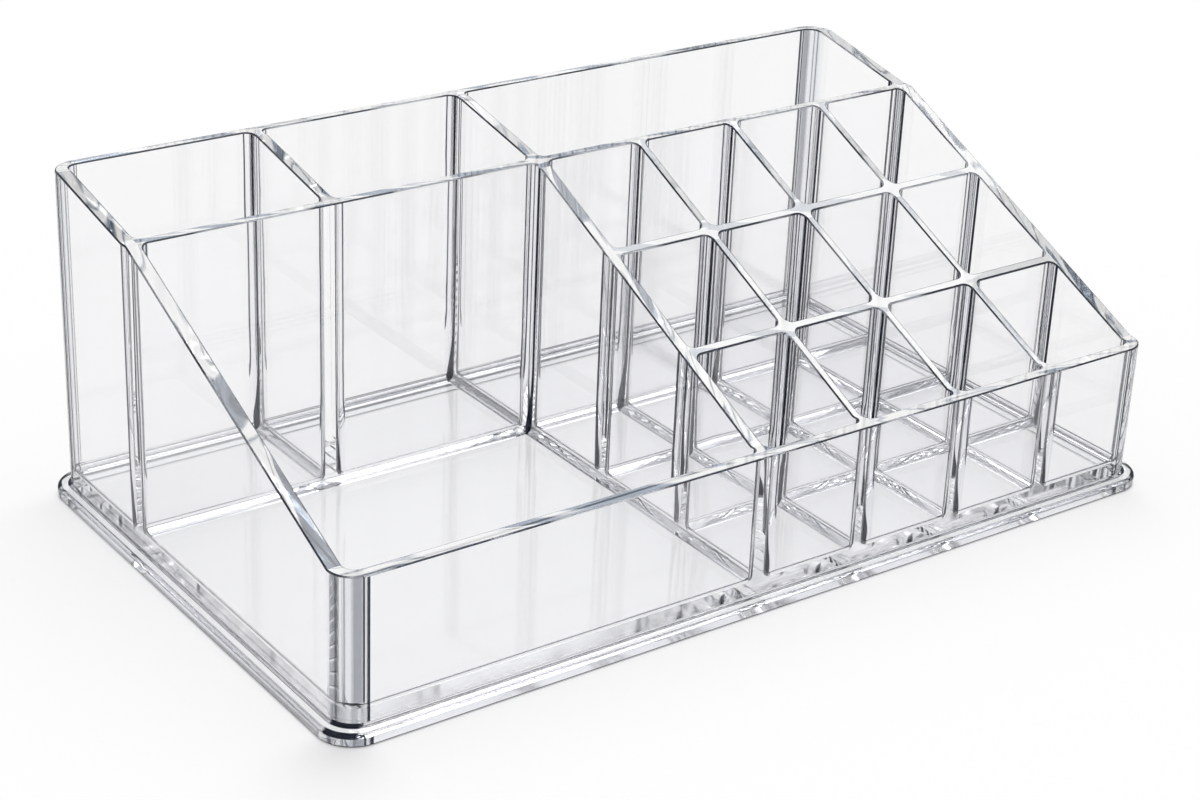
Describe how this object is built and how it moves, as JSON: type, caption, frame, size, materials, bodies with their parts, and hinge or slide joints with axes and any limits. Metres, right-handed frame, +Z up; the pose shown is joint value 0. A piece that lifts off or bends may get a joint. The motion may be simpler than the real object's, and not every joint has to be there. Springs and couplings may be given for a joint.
{
  "type": "vanity organizer",
  "caption": "Clear cosmetics organizer: a large open tray, a lipstick grid and a taller back row, with side walls that slope down to a low front and a flanged base.",
  "frame": {"origin": "middle of the base's outline, on the surface it stands on", "axes": "+X to the right along the front (tray left, grid right), +Y from the low front to the high back, +Z up"},
  "size_m": [0.237, 0.141, 0.084],
  "materials": {
    "clear_plastic": "clear polished, water white"
  },
  "bodies": {
    "root": {"base_tray": "clear_plastic", "front_panel": "clear_plastic", "back_panel": "clear_plastic", "left_side_panel": "clear_plastic", "right_side_panel": "clear_plastic", "cross_panel": "clear_plastic", "main_divider": "clear_plastic", "back_divider": "clear_plastic", "grid_divider_left": "clear_plastic", "grid_divider_middle": "clear_plastic", "grid_divider_right": "clear_plastic", "grid_rail_front": "clear_plastic", "grid_rail_back": "clear_plastic"}
  },
  "joints": []
}
